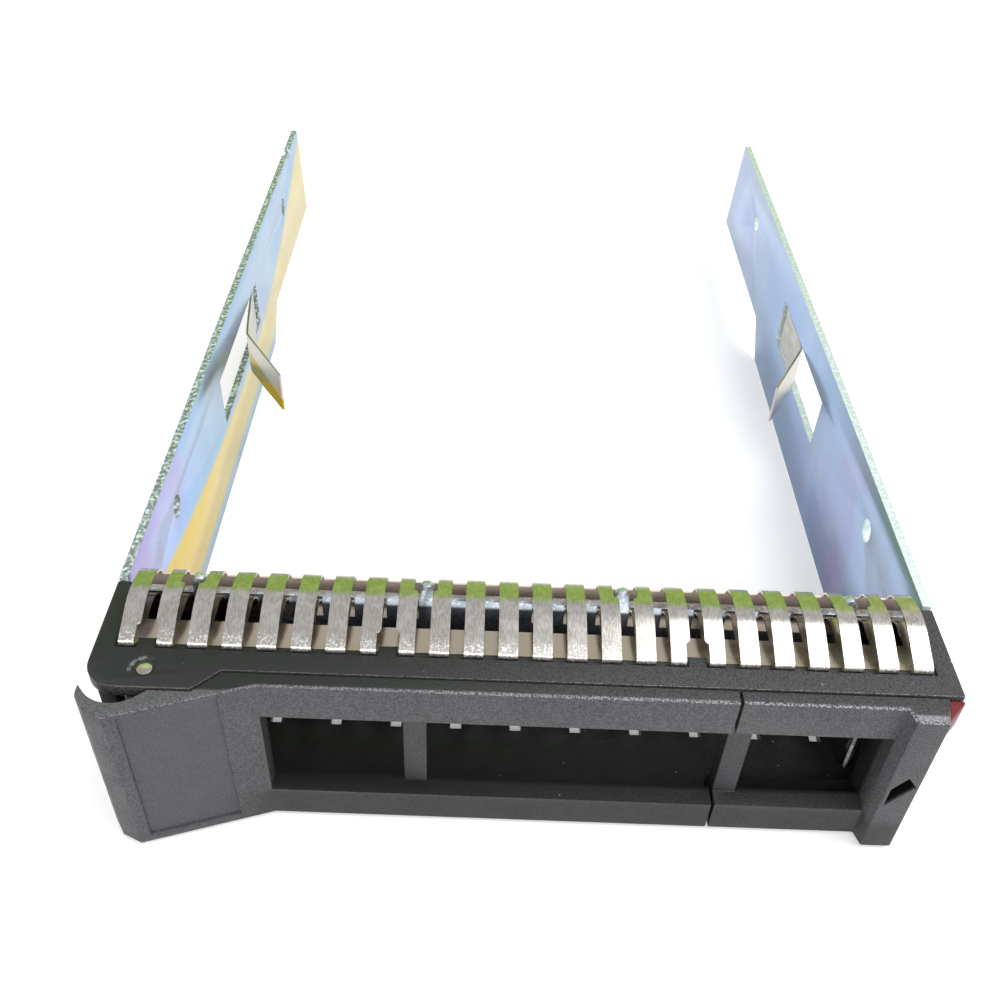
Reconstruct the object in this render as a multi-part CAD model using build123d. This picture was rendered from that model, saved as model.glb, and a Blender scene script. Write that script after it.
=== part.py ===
"""Hot-swap carrier for a 3.5-inch hard disk drive, empty, lying with its open bay upwards.

Millimetres.  +X is to the right, +Y to the rear (connector end), +Z up.  While it is being modelled,
Y = 0 is the axis of the front pair of side screw holes and Z = 0 is the face that it stands on.
The whole carrier is then moved along Y, so that the middle of its length is at Y = 0.
"""
from build123d import *
import math
import os

# Drive and bay
drive_width = 101.6
bay_clearance = 0.2             # between the drive and each rail
hole_spacing = 101.6            # between the front and rear side screw holes
hole_diameter = 3.6
hole_below_top = 7.0

# Rails
sheet = 1.2
rail_height = 26.7
rail_rear_top = 126.0
rail_rear_bottom = 131.0
rail_step_y = 79.0
rail_step_height = 6.5
window_front = 32.7
window_length = 34.8
window_height = 8.5
window_below_top = 6.5
notch_depth = 1.0
notch_width = 3.4
notch_y = 112.0
rail_foot_gap = 0.3             # cross plate above the plane of the rails' lower edges

# Spring clips
leaf_thickness = 0.4
leaf_side_gap = 0.45            # leaf to the upper and lower edges of the window
clip_free_ends = {-1: (9.6, 36.2), 1: (6.6, 37.8)}      # left and right: distance into the bay, y
clip_bends = {-1: (1.5, 49.2), 1: (-0.4, 51.2)}         # the same for the last bend
clip_root_length = 8.5

# Housing
housing_overhang = 0.2          # housing side beyond the rail's outer face
housing_rear = -23.0
housing_depth = 14.6
housing_top_drop = 0.7          # housing top below the rail top
housing_wall = 2.0
housing_skin = 1.6
lobe_reach = 3.15
lobe_radius = 4.0
lobe_width = 6.0                # from the pin to the lobe's right end
opening_depth = 6.4             # the open stretch in front of the cross plate
ledge_drop = 0.4
ledge_side = 2.4                # flat shoulder at each end of the finger strip
floor_slot_pitch = 8.56
floor_slot_width = 1.6
floor_slot_length = 2.4
tab_width = 2.2
tab_length = 1.65
tab_round = 0.4
tab_room = 0.1
boss_width = 6.4
boss_length = 6.0
boss_height = 6.4
screw_diameter = 3.0
screw_head_diameter = 4.6
screw_head_height = 1.2
screw_recess = (1.6, 0.8)       # diameter, depth
screw_fit = 0.2
screw_length = 6.0
screw_from_side = 5.4
screw_low_z = 5.0
screw_drop = 8.6                # upper screws below the cross plate's top

# Lever
pin_from_side = 7.0
pin_forward = 0.2               # pin's axis in front of the housing's straight front edge
pin_diameter = 2.0
pin_fit = 0.05
open_angle = 40
front_stand_off = 2.2           # lever's face in front of the housing's straight front edge
lever_edge_drop = 0.1           # lever top below the housing top
lever_foot_gap = 0.3
pad_width = 16.6
pad_reach = 5.7                 # pad's outer corner in front of the lever's face
chamfer_width = 2.6
chamfer_reach = 4.5
side_reach = 2.4
side_end = 1.8                  # the side wall ends this far behind its outer corner
side_overhang = 0.2
lever_wall = 2.4
side_wall_thickness = 1.2
bar_depth = 3.0
bar_height = 5.7
lower_bar_height = 5.2
first_window = 17.2
rib_width = 2.9
rib_recess = 2.3
rib_depth = 2.6
knuckle_radius = 3.0
label_depth = 0.35
label_from_corner = 1.4
label_from_kink = 4.2
label_border = 1.4
edge_round = 0.45
gap = 0.3                       # moving plastic to fixed plastic
spring_wire = 0.6
spring_turns = 6
spring_pitch = 0.95
arm_left = 1.8                  # the arm that joins the knuckle to the pad, either side of the pin
arm_right = 4.8

# Latch
seam = 0.4
latch_travel = 1.6
latch_length = 23.8             # from the seam to the finger block's right end
latch_rib = 3.0
block_from_side = 2.8
block_width = 3.9
block_reach = 2.0
step_width = 0.6
guide_rib = 0.8
guide_height = 1.1
guide_gap = 0.12
guide_inset = 1.6
guide_flange = 1.9
guide_depth = 3.2
flag_height = 4.5
mark_depth = 2.4
mark_heights = (4.0, 7.3, 9.6, 7.9)      # the arrow's corners above the window's lower edge

# Finger strip
finger_count = 24
finger_end = 1.8                # middle of the end fingers to the ends of the seat
finger_width = 2.4
leg_width = 2.0
strip_sheet = 0.25
strip_reach = 5.0               # depth of the base band's seat, from front to back
finger_rise = 1.9               # fingers above the rail top
skirt_rise = 1.4                # strip's rear skirt above the cross plate
tab_notch = 0.5
tab_notch_length = 2.6
post_notch = 0.6
post_notch_length = 3.6         # in front of the cross plate's rear face
tab_gaps = (1, 8, 17)           # the gap after this finger holds a housing tab
post_gaps = (2, 9, 15, 22)      # the gap after this finger holds a post of the cross plate

# Cross plate
plate_drop = 2.1                # plate top below the rail top
flange_length = 5.2
flange_drop = 4.6               # flange top below the plate's top
post_width = 1.9
post_height = 2.4
vent_diameter = 4.0
vent_pitch = 5.6
vent_drop = 1.2                 # middle of the rows below the middle of the plate
rivet_diameter = 2.4
rivet_head = 4.0
rivet_head_height = 0.6
rivet_low_z = 6.0
rivet_drop = 11.7               # upper rivet below the rail's top

# Worked out from the values above
rail_inner = drive_width / 2 + bay_clearance
rail_outer = rail_inner + sheet
hole_z = rail_height - hole_below_top
window_top = rail_height - window_below_top
window_bottom = window_top - window_height
window_rear = window_front + window_length
housing_half = rail_outer + housing_overhang
housing_top = rail_height - housing_top_drop
ceiling = housing_top - housing_skin
ledge_z = housing_top - ledge_drop
opening_half = housing_half - ledge_side
housing_front = housing_rear - housing_depth
lobe_front = housing_front - lobe_reach
opening_front = housing_rear - opening_depth
ledge_front = opening_front - strip_reach
pin_x = -housing_half + pin_from_side
pin_y = housing_front - pin_forward
lobe_right = pin_x + lobe_width
plate_rear = housing_rear + sheet
plate_top = rail_height - plate_drop
flange_top = plate_top - flange_drop
rivet_z = (rivet_low_z, rail_height - rivet_drop)
screw_high_z = plate_top - screw_drop
lever_top = housing_top - lever_edge_drop
front_face = housing_front - front_stand_off
pad_side = (-housing_half - side_overhang, front_face - side_reach)
pad_corner = (pad_side[0] + chamfer_width + 1.4, front_face - pad_reach)
pad_chamfer = (pad_side[0] + 1.4, front_face - chamfer_reach)
kink_x = pad_corner[0] + pad_width
window_left = kink_x
rib_left = window_left + first_window
rib_right = rib_left + rib_width
label_left = pad_corner[0] + label_from_corner
label_right = kink_x - label_from_kink
block_right = housing_half - block_from_side
block_left = block_right - block_width
block_front = front_face - block_reach
ramp_start = block_left - step_width
latch_window_right = ramp_start
latch_left = block_right - latch_length
latch_window_left = latch_left + latch_rib
lever_right = latch_left - seam
guide_right = block_right - guide_inset
window_upper = lever_top - bar_height
window_lower = lever_foot_gap + lower_bar_height
core_top = ceiling - gap
core_bottom = housing_skin + gap
bar_back = front_face + bar_depth
rib_front = front_face + rib_recess
screw_x = rail_inner - screw_from_side + sheet
finger_top = rail_height + finger_rise
first_finger = finger_end - opening_half
finger_pitch = -2 * first_finger / (finger_count - 1)
slot_room = 2 * (housing_half - 1 - boss_width) - floor_slot_width
floor_slot_count = int(slot_room / floor_slot_pitch) + 1
lug_right = latch_window_right - 2.9
coil_radius = pin_diameter / 2 + spring_wire / 2 + 0.45
length_middle = (rail_rear_bottom + pad_corner[1]) / 2


def block(x, y, z):
    """A box between three (low, high) pairs."""
    size = [high - low for low, high in (x, y, z)]
    middle = [(low + high) / 2 for low, high in (x, y, z)]
    return Pos(*middle) * Box(*size)


def prism(points, low, high):
    """A plan outline of straight sides, raised from low to high."""
    return Pos(0, 0, low) * extrude(make_face(Polyline(*points, close=True)), high - low)


def rod_y(x, z, diameter, y):
    """A round rod along Y between y[0] and y[1]."""
    return Pos(x, (y[0] + y[1]) / 2, z) * Rot(90, 0, 0) * Cylinder(diameter / 2, y[1] - y[0])


def rod_x(y, z, diameter, x):
    """A round rod along X between x[0] and x[1]."""
    return Pos((x[0] + x[1]) / 2, y, z) * Rot(0, 90, 0) * Cylinder(diameter / 2, x[1] - x[0])


def rod_z(x, y, diameter, z):
    """A round rod along Z between z[0] and z[1]."""
    return Pos(x, y, (z[0] + z[1]) / 2) * Cylinder(diameter / 2, z[1] - z[0])


def bent_strip(points, thickness):
    """The outline of a strip of even thickness whose middle line runs through the points."""
    left, right = [], []
    for i, (x, y) in enumerate(points):
        before = points[max(i - 1, 0)]
        after = points[min(i + 1, len(points) - 1)]
        into = math.atan2(y - before[1], x - before[0]) if i else None
        out = math.atan2(after[1] - y, after[0] - x) if i < len(points) - 1 else into
        into = out if into is None else into
        turn = math.atan2(math.sin(out - into), math.cos(out - into)) / 2
        reach = thickness / 2 / math.cos(turn)
        side = into + turn + math.pi / 2
        left.append((x + reach * math.cos(side), y + reach * math.sin(side)))
        right.append((x - reach * math.cos(side), y - reach * math.sin(side)))
    return left + right[::-1]


def finger_x(number):
    """The middle of a finger, counted from 1 at the left."""
    return first_finger + finger_pitch * (number - 1)


def gap_x(number):
    """The middle of the gap after a finger."""
    return finger_x(number) + finger_pitch / 2


def about_pin(shape, degrees):
    """The shape turned about the lever's pin, seen from above."""
    return Pos(pin_x, pin_y, 0) * Rot(0, 0, degrees) * Pos(-pin_x, -pin_y, 0) * shape


def rail(side):
    """One side rail with its two screw holes, its clip window and two rivet holes."""
    outline = [
        (housing_rear, 0), (rail_step_y, 0), (rail_step_y + rail_step_height, rail_step_height),
        (rail_rear_bottom, rail_step_height), (rail_rear_top, rail_height), (housing_rear, rail_height),
    ]
    face = Plane.YZ * make_face(Polyline(*outline, close=True))
    body = Pos(rail_inner, 0, 0) * extrude(face, sheet)
    through = (rail_inner - 1, rail_outer + 1)
    for y in (0, hole_spacing):
        body -= rod_x(y, hole_z, hole_diameter, through)
    for z in rivet_z:
        body -= rod_x(plate_rear + flange_length / 2, z, rivet_diameter, through)
    body -= block(through, (window_front, window_rear), (window_bottom, window_top))
    if side < 0:
        body -= block(through, (notch_y, notch_y + notch_width), (rail_height - notch_depth, rail_height + 1))
        body = mirror(body, Plane.YZ)
    return body


def spring_clip(side):
    """A leaf spring: its root lies on the rail's outer face, its free end stands in the bay."""
    middle = rail_inner + leaf_thickness
    bend_in, bend_y = clip_bends[side]
    end_in, end_y = clip_free_ends[side]
    outside = rail_outer + leaf_thickness / 2
    line = [
        (outside, window_rear + clip_root_length), (outside, window_rear - 0.4),
        (middle, window_rear - 2.2), (rail_inner - bend_in, bend_y),
        (rail_inner - end_in, end_y),
    ]
    leaf = prism(bent_strip(line, leaf_thickness), window_bottom + leaf_side_gap, window_top - leaf_side_gap)
    return mirror(leaf, Plane.YZ) if side < 0 else leaf


def cross_plate():
    """The vented plate between the rails, with a flange at each end and four upright posts."""
    plate = block((-rail_inner, rail_inner), (housing_rear, plate_rear), (rail_foot_gap, plate_top))
    across = int((screw_x - screw_head_diameter) * 2 / vent_pitch)
    down = int((plate_top - 6) / vent_pitch)
    for row in range(down):
        for column in range(across):
            x = (column - (across - 1) / 2) * vent_pitch
            z = plate_top / 2 - vent_drop + (row - (down - 1) / 2) * vent_pitch
            plate -= rod_y(x, z, vent_diameter, (housing_rear - 1, plate_rear + 1))
    for side in (-1, 1):
        inner, outer = sorted((side * (rail_inner - sheet), side * rail_inner))
        plate += block((inner, outer), (plate_rear, plate_rear + flange_length), (1.0, flange_top))
        for z in rivet_z:
            plate -= rod_x(plate_rear + flange_length / 2, z, rivet_diameter, (inner - 1, outer + 1))
        for z in (screw_low_z, screw_high_z):
            plate -= rod_y(side * screw_x, z, screw_diameter + screw_fit, (housing_rear - 1, plate_rear + 1))
    for number in post_gaps:
        x = gap_x(number)
        straight = plate_top + post_height - post_width / 2
        across_post = (x - post_width / 2, x + post_width / 2)
        post = block(across_post, (housing_rear, plate_rear), (plate_top - 1, straight))
        plate += post + rod_y(x, straight, post_width, (housing_rear, plate_rear))
    return plate


def frame_rivets(side):
    """Two rivets that join a rail to the cross plate's flange."""
    rivets = []
    y = plate_rear + flange_length / 2
    inside = rail_inner - sheet
    for z in rivet_z:
        rivet = rod_x(y, z, rivet_diameter, (inside, rail_outer + 0.1))
        rivet += rod_x(y, z, rivet_head, (inside - rivet_head_height, inside))
        rivets.append(mirror(rivet, Plane.YZ) if side < 0 else rivet)
    return rivets


def housing_screws():
    """Four screws from the cross plate into the housing."""
    screws = []
    for side in (-1, 1):
        for z in (screw_low_z, screw_high_z):
            screw = rod_y(side * screw_x, z, screw_diameter, (plate_rear - screw_length, plate_rear))
            head = rod_y(side * screw_x, z, screw_head_diameter, (plate_rear, plate_rear + screw_head_height))
            head_end = plate_rear + screw_head_height
            recess = rod_y(side * screw_x, z, screw_recess[0], (head_end - screw_recess[1], head_end + 1))
            screws.append(screw + head - recess)
    return screws


def housing_plan(grow, low, high):
    """The plan of the housing's upper and lower walls, grown outwards, with the lobe at the pin."""
    left, right = -housing_half - grow, housing_half + grow
    front, lobe = housing_front - grow, lobe_front - grow
    radius = lobe_radius + grow
    corner = lobe_right + grow / 2
    sides = Polyline(
        (left + radius, lobe), (corner, lobe), (corner + lobe_reach, front), (right, front),
        (right, housing_rear), (left, housing_rear), (left, lobe + radius),
    )
    bend = RadiusArc((left, lobe + radius), (left + radius, lobe), -radius)
    outline = make_face(Wire([*sides.edges(), *bend.edges()]))
    return Pos(0, 0, low) * extrude(outline, high - low)


def bezel_housing():
    """The moulded housing: two skins, two cheeks, a ledge for the finger strip, bosses and guides."""
    walls = housing_plan(0, ceiling, housing_top) + housing_plan(0, 0, housing_skin)
    for side in (-1, 1):
        cheek = sorted((side * (housing_half - housing_wall), side * housing_half))
        front = lobe_front + lobe_radius if side < 0 else housing_front
        walls += block(cheek, (front, housing_rear), (0, housing_top))
        boss = sorted((side * (housing_half - boss_width - 1), side * (housing_half - 1)))
        for z in (screw_low_z, screw_high_z):
            low, high = z - boss_height / 2, z + boss_height / 2
            walls += block(boss, (housing_rear - boss_length, housing_rear), (low, high))
    across = (-opening_half, opening_half)
    walls -= block(across, (opening_front, housing_rear + 1), (ceiling - 1, housing_top + 1))
    seat = block(across, (ledge_front, opening_front + 1), (ledge_z, housing_top + 1))
    for number in tab_gaps:
        seat -= tab(number, 0)
    walls -= seat
    for number in range(floor_slot_count):
        x = (number - (floor_slot_count - 1) / 2) * floor_slot_pitch
        slot = (x - floor_slot_width / 2, x + floor_slot_width / 2)
        walls -= block(slot, (housing_rear - floor_slot_length, housing_rear + 1), (-1, housing_skin + 1))
    rib_y = guide_rib_y()
    guide_x = (latch_left + 4, housing_half - housing_wall)
    walls += block(guide_x, rib_y, (ceiling - guide_height, ceiling + 0.2))
    walls += block(guide_x, rib_y, (housing_skin - 0.2, housing_skin + guide_height))
    anchor = spring_anchor()
    walls += block((anchor[0], anchor[0] + 1.8), (anchor[1] - 0.6, anchor[1] + 1.4), (0.5, window_upper))
    walls -= rod_z(pin_x, pin_y, pin_diameter + 2 * pin_fit, (-1, housing_top + 1))
    for side in (-1, 1):
        for z in (screw_low_z, screw_high_z):
            walls -= rod_y(side * screw_x, z, screw_diameter, (plate_rear - screw_length, plate_rear))
    return walls


def tab(number, room):
    """A tab of the housing that pokes up through the strip in this gap, grown by the room around it."""
    x = gap_x(number)
    width = (x - tab_width / 2 - room, x + tab_width / 2 + room)
    post = block(width, (ledge_front - 1, ledge_front + tab_length + room), (ledge_z - 1, housing_top + 2))
    corners = post.edges().filter_by(Axis.Z).group_by(Axis.Y)[-1]
    return fillet(corners, tab_round)


def guide_rib_y():
    """Where the guide ribs for the latch lie, front and rear."""
    front = bar_back + 1.2
    return (front, front + guide_rib)


def spring_anchor():
    """The place on the housing that holds the latch's leaf spring."""
    return (latch_window_right + 1.4, bar_back + guide_depth + 2.2)


def lever_outline(back):
    """The lever's plan, from its right end round the slanted pad to its rear edge."""
    return [
        (lever_right, front_face), (kink_x, front_face), pad_corner, pad_chamfer, pad_side,
        (pad_side[0], back), (lever_right, back),
    ]


def rounded_front(shape):
    """The shape with its long front edges rounded, as the moulding's worn edges are."""
    edges = [
        edge for level in (lever_foot_gap, lever_top)
        for edge in shape.edges().filter_by_position(Axis.Z, level, level)
        if edge.center().Y < front_face + 0.01
    ]
    return fillet(edges, edge_round)


def label_recess(slope):
    """The shallow recess in the pad's slanted face, as a cutting block."""
    face = [(x, front_face + (x - kink_x) * math.tan(slope)) for x in (label_right, label_left)]
    inward = (-label_depth * math.sin(slope), label_depth * math.cos(slope))
    near = [(x + inward[0], y + inward[1]) for x, y in face]
    far = [(x - 8 * inward[0], y - 8 * inward[1]) for x, y in reversed(face)]
    return prism(near + far, lever_foot_gap + label_border, lever_top - label_border / 2)


def front_lever():
    """The swinging front: two bars, a rib, the slanted pad and the knuckle on the pin."""
    lever = rounded_front(prism(lever_outline(bar_back), lever_foot_gap, lever_top))
    for left, right in ((window_left, rib_left), (rib_right, lever_right + 1)):
        lever -= block((left, right), (front_face - 1, bar_back + 1), (window_lower, window_upper))
    slope = math.atan2(front_face - pad_corner[1], kink_x - pad_corner[0])
    inset = lever_wall / math.cos(slope)
    pocket = [
        (kink_x - 2, bar_back + 1), (kink_x - 2, front_face + inset - 2 * math.tan(slope)),
        (pad_corner[0] + 1, pad_corner[1] + math.tan(slope) + inset),
        (pad_side[0] + side_wall_thickness + 0.6, pad_chamfer[1] + inset),
        (pad_side[0] + side_wall_thickness, pad_side[1] + 0.6),
        (pad_side[0] + side_wall_thickness, bar_back + 1),
    ]
    lever -= prism(pocket, core_bottom, core_top)
    across = (rib_left, rib_right)
    lever -= block(across, (front_face - 1, rib_front), (window_lower, window_upper))
    lever += block(across, (rib_front, rib_front + rib_depth), (window_lower - 2, window_upper + 2))
    arm_back = pin_y + coil_radius - spring_wire / 2 - 0.05
    arm_x = (pin_x - arm_left, pin_x + arm_right)
    arm = block(arm_x, (pad_corner[1] + 2.6, arm_back), (core_bottom, core_top))
    lever += arm & prism(lever_outline(arm_back), core_bottom, core_top)
    lever += rod_z(pin_x, pin_y, 2 * knuckle_radius, (core_bottom, core_top))
    coil = spring_turns * spring_pitch / 2 + spring_wire
    middle = (core_bottom + core_top) / 2
    lever -= rod_z(pin_x, pin_y, 2 * knuckle_radius + 1.0, (middle - coil, middle + coil))
    lever -= rod_z(pin_x, pin_y, pin_diameter + 2 * pin_fit, (-1, housing_top + 1))
    steps = open_angle // 4
    for step in range(steps + 1):
        turn = open_angle * step / steps
        for low, high in ((-1, core_bottom), (core_top, housing_top + 1)):
            lever -= about_pin(housing_plan(gap, low, high), turn)
        cheek = block((-housing_half - gap, -housing_half + housing_wall + gap),
                      (lobe_front + lobe_radius - gap, housing_rear), (-1, housing_top + 1))
        lever -= about_pin(cheek, turn)
    side_wall = (pad_side[0] - 1, pad_side[0] + side_wall_thickness + 1)
    lever -= block(side_wall, (pad_side[1] + side_end, housing_rear), (-1, housing_top + 1))
    lever -= label_recess(slope)
    return lever


def pivot_pin():
    """The plain pin that the lever swings on, flush with the housing's top."""
    return rod_z(pin_x, pin_y, pin_diameter, (0.3, housing_top + 0.05))


def lever_spring():
    """The torsion spring that throws the lever open: a coil on the pin and two straight legs."""
    height = spring_turns * spring_pitch
    low = (core_bottom + core_top - height) / 2
    coil = Edge.make_helix(spring_pitch, height, coil_radius)
    coil = Pos(pin_x, pin_y, low) * Rot(0, 0, 90) * coil
    start, end = coil @ 0, coil @ 1
    lever_leg = Edge.make_line(start - (coil % 0) * arm_right, start)
    housing_leg = Edge.make_line(end, end + (coil % 1) * (pin_from_side - housing_wall - 0.1))
    path = Wire([lever_leg, coil, housing_leg])
    section = Plane(origin=path @ 0, z_dir=path % 0) * Circle(spring_wire / 2)
    return sweep(section, path=path)


def latch_plan(back):
    """The latch's plan, with the ramp up to the finger block at its right end."""
    return [
        (latch_left, front_face), (ramp_start, front_face), (block_left, block_front),
        (block_right, block_front), (block_right + 1.0, back), (latch_left, back),
    ]


def release_latch():
    """The sliding latch: two bars, a recessed rib, the finger block and grooved guide flanges."""
    latch = rounded_front(prism(latch_plan(housing_front - gap), lever_foot_gap, lever_top))
    core = latch_plan(bar_back)
    core[4] = (guide_right, bar_back)
    latch += prism(core, core_bottom, core_top)
    window_x = (latch_left - 1, latch_window_right)
    latch -= block(window_x, (front_face - 1, bar_back + 1), (window_lower, window_upper))
    latch += block((latch_left, latch_window_left), (rib_front, rib_front + rib_depth),
                   (window_lower - 2, window_upper + 2))
    back = bar_back + guide_depth
    rib = guide_rib_y()
    groove_y = (rib[0] - guide_gap, rib[1] + guide_gap)
    guide_x = (latch_left, guide_right)
    latch += block(guide_x, (bar_back - 1, back), (core_top - guide_flange, core_top))
    latch += block(guide_x, (bar_back - 1, back), (core_bottom, core_bottom + guide_flange))
    latch += block((latch_window_right, guide_right), (bar_back - 1, back), (core_bottom, core_top))
    groove_x = (latch_left - 1, guide_right + 1)
    latch -= block(groove_x, groove_y, (ceiling - guide_height - guide_gap, housing_top))
    latch -= block(groove_x, groove_y, (0, housing_skin + guide_height + guide_gap))
    latch += block((lug_right - 1.2, lug_right), (bar_back + 0.6, back), (window_upper - 4, core_top - 1.6))
    mark_x = (block_left + 0.6, block_left + 0.6, block_left + 2.2, block_right - 0.4)
    mark = [(x, window_lower + z) for x, z in zip(mark_x, mark_heights)]
    face = Plane.XZ * make_face(Polyline(*mark, close=True))
    latch -= Pos(0, block_front + mark_depth, 0) * extrude(face, mark_depth + 1)
    return latch


def latch_flag():
    """The red wedge on the latch's right side, between its finger block and the housing's corner."""
    rear = housing_front - gap
    run = rear - block_front
    start = (block_right + 0.8 / run, block_front + 0.8)
    outline = [start, (housing_half, rear - 0.3), (housing_half, rear), (block_right + 1.0, rear)]
    return prism(outline, lever_top - flag_height, lever_top - 0.4)


def latch_spring():
    """The curved leaf that pushes the latch back towards the lever."""
    x, y = spring_anchor()
    line = [(x - leaf_thickness / 2, y + 1.2)]
    radius = 2.6
    centre = (x - leaf_thickness / 2 - 0.2, y - 2.2)
    for degrees in range(100, 201, 20):
        turn = math.radians(degrees)
        line.append((centre[0] + radius * math.cos(turn), centre[1] + radius * math.sin(turn)))
    line.append((lug_right + leaf_thickness / 2 + 0.05, bar_back + 0.9))
    return prism(bent_strip(line, leaf_thickness), window_lower + 4, core_top - guide_flange - 0.3)


def finger_strip():
    """The sprung contact strip, one folded sheet: a base band, fingers, legs below them and a skirt."""
    level = ledge_z + strip_sheet / 2
    front = ledge_front + 0.3
    half = first_finger - finger_width / 2 - 0.1
    strip = block((half, -half), (front + 0.5, opening_front), (ledge_z, ledge_z + strip_sheet))
    crest = finger_top - strip_sheet / 2
    skirt_line = [
        (plate_rear + 0.62, plate_top + skirt_rise), (plate_rear + 0.8, plate_top),
        (plate_rear + 0.35, plate_top - 3.0),
    ]
    finger_line = [
        (front + 0.8, level), (front + 0.1, level), (front, level + 0.15), (front + 0.02, level + 0.75),
        (front + 0.3, level + 1.02), (front + 2.4, level + 1.65), (front + 4.4, crest - 0.42),
        (front + 6.6, crest), (front + 8.8, crest - 0.12), (front + 10.8, crest - 0.58),
        (plate_rear + 0.1, crest - 1.2), *skirt_line,
    ]
    leg_line = [
        (opening_front - 0.5, level), (housing_rear - 2.1, level), (housing_rear - 0.9, plate_top + 0.35),
        (housing_rear - 0.2, plate_top - 0.5), (housing_rear - 0.2, plate_top - 3.2),
    ]
    finger, leg, skirt = (
        Plane.YZ * make_face(Polyline(*bent_strip(line, strip_sheet), close=True))
        for line in (finger_line, leg_line, skirt_line)
    )
    strip += Pos(half, 0, 0) * extrude(skirt, -2 * half)
    for number in range(1, finger_count + 1):
        left = finger_x(number) - finger_width / 2
        piece = Pos(left, 0, 0) * extrude(finger, finger_width)
        for gap_number, side in ((number, 1), (number - 1, -1)):
            if gap_number in tab_gaps:
                edge = finger_x(number) + side * finger_width / 2
                cut = sorted((edge - side * tab_notch, edge + side))
                piece -= block(cut, (front - 1, front + tab_notch_length), (ledge_z, finger_top))
            if gap_number in post_gaps:
                edge = finger_x(number) + side * finger_width / 2
                cut = sorted((edge - side * post_notch, edge + side))
                notch_z = (plate_top + skirt_rise - 0.2, finger_top + 1)
                piece -= block(cut, (plate_rear - post_notch_length, plate_rear + 2), notch_z)
        strip += piece + Pos(finger_x(number) - leg_width / 2, 0, 0) * extrude(leg, leg_width)
    for number in tab_gaps:
        strip -= tab(number, tab_room)
    return strip


def save(name, shape):
    """Write one node, moved so that the middle of the carrier's length is at Y = 0."""
    solids = shape if isinstance(shape, list) else shape.solids()
    moved = [Pos(0, -length_middle, 0) * solid for solid in solids]
    result = moved[0] if len(moved) == 1 else Compound(children=moved)
    result.label = name
    export_step(result, f"parts/{name}.step")


os.makedirs("parts", exist_ok=True)
save("bezel_housing", bezel_housing())
save("front_lever", front_lever())
save("pivot_pin", pivot_pin())
save("lever_spring", lever_spring())
save("release_latch", release_latch())
save("latch_flag", latch_flag())
save("latch_spring", latch_spring())
save("emi_finger_strip", finger_strip())
save("cross_plate", cross_plate())
save("left_rail", rail(-1))
save("right_rail", rail(1))
save("left_spring_clip", spring_clip(-1))
save("right_spring_clip", spring_clip(1))
save("left_frame_rivets", frame_rivets(-1))
save("right_frame_rivets", frame_rivets(1))
save("housing_screws", housing_screws())
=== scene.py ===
"""An empty hot-swap carrier for a 3.5-inch drive, lying on a pale table with its open bay upwards."""
import math
import bmesh
import bpy
import numpy as np
from mathutils import Matrix, Vector


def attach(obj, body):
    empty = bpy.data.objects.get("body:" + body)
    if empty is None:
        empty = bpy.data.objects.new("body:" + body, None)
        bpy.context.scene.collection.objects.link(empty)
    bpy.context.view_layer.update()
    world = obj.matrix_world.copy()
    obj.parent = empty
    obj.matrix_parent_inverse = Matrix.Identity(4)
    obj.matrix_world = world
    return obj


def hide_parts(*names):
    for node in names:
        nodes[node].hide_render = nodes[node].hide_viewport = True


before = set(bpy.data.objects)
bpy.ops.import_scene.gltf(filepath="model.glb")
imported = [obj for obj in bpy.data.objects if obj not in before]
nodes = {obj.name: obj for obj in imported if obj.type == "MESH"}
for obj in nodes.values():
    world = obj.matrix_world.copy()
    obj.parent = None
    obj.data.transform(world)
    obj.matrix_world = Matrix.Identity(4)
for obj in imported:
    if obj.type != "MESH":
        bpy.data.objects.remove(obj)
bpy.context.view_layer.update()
MM = 0.001

# ---- Side rails ------------------------------------------------------------------------------
# Two blanks of 1.2 mm steel sheet, punched, cut to a sloping tail and zinc plated in a bright bath.
# The thin passivation film on the plating shows as soft blue and lilac tints. The foot has painted shade
# and, on the left rail, a painted straw-yellow reflection.


def softened(name, node, body, radius, segments=2):
    """A copy of a CAD node with its flat faces joined and every corner sharper than 30 degrees
    rounded to the radius, as a stamping or a moulding leaves it."""
    shell = bmesh.new()
    shell.from_mesh(nodes[node].data)
    bmesh.ops.remove_doubles(shell, verts=shell.verts, dist=0.001 * MM)
    bmesh.ops.dissolve_limit(shell, angle_limit=math.radians(1), verts=shell.verts, edges=shell.edges)
    mesh = bpy.data.meshes.new(name)
    shell.to_mesh(mesh)
    shell.free()
    return finished(name, mesh, [node], body, radius, segments)


def finished(name, mesh, replaced, body, radius, segments=2, sheet=None):
    """Put a mesh in the scene as a piece of this body, in place of its CAD nodes. A sheet thickness
    turns an open surface into sheet metal, and the radius rounds the corners."""
    piece = bpy.data.objects.new(name, mesh)
    bpy.context.collection.objects.link(piece)
    mesh.shade_smooth()
    if sheet:
        solid = piece.modifiers.new("sheet", "SOLIDIFY")
        solid.thickness = sheet
        solid.offset = 0
        solid.use_even_offset = True
    if radius:
        corners = piece.modifiers.new("corners", "BEVEL")
        corners.width = radius
        corners.segments = segments
        corners.limit_method = "ANGLE"
        corners.angle_limit = math.radians(30)
        corners.harden_normals = True
    else:
        mesh.set_sharp_from_angle(angle=math.radians(35))
    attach(piece, body)
    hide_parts(*replaced)
    return piece


def add(tree, kind, **settings):
    """A shader node of this kind. in_0, in_1... are its sockets, and the rest are its properties."""
    node = tree.nodes.new(kind)
    for key, value in settings.items():
        if not key.startswith("in_"):
            setattr(node, key, value)
    for key, value in settings.items():
        if key.startswith("in_"):
            plug(tree, value, node.inputs[int(key[3:])])
    return node


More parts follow.
